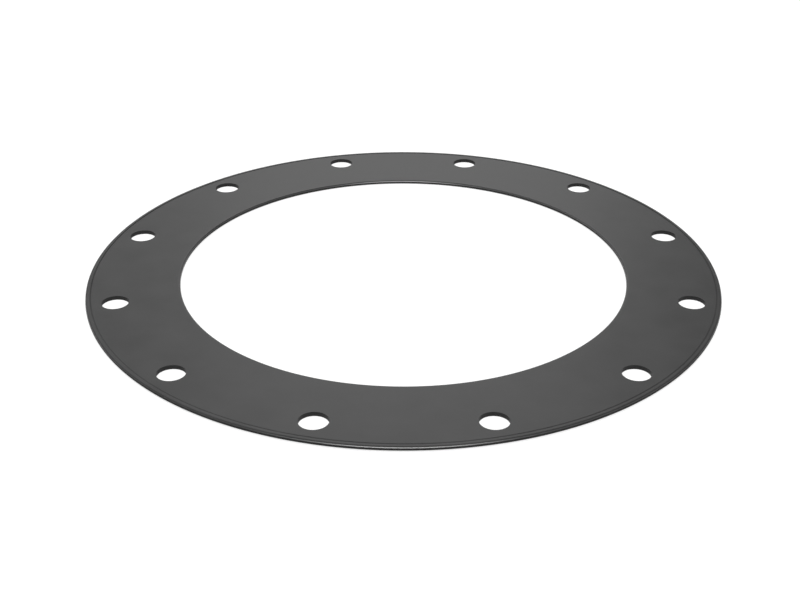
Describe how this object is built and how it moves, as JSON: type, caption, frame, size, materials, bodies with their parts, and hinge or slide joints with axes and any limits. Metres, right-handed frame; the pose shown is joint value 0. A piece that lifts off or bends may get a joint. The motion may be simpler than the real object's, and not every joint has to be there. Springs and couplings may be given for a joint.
{
  "type": "bellows gasket",
  "caption": "Flat full-face ring gasket of black rubber with rounded edges, a fine groove near its rim and bolt holes, which seals a bellows against its flange.",
  "frame": {"origin": "centre of the flow opening, on the underside of the ring", "axes": "+Z along the ring's axis, up through its thickness; the X axis runs midway between two bolt holes"},
  "size_m": [0.457, 0.457, 0.003],
  "materials": {
    "rubber": "smooth moulded black rubber with a satin sheen"
  },
  "bodies": {
    "root": {"gasket_ring": "rubber"}
  },
  "joints": []
}
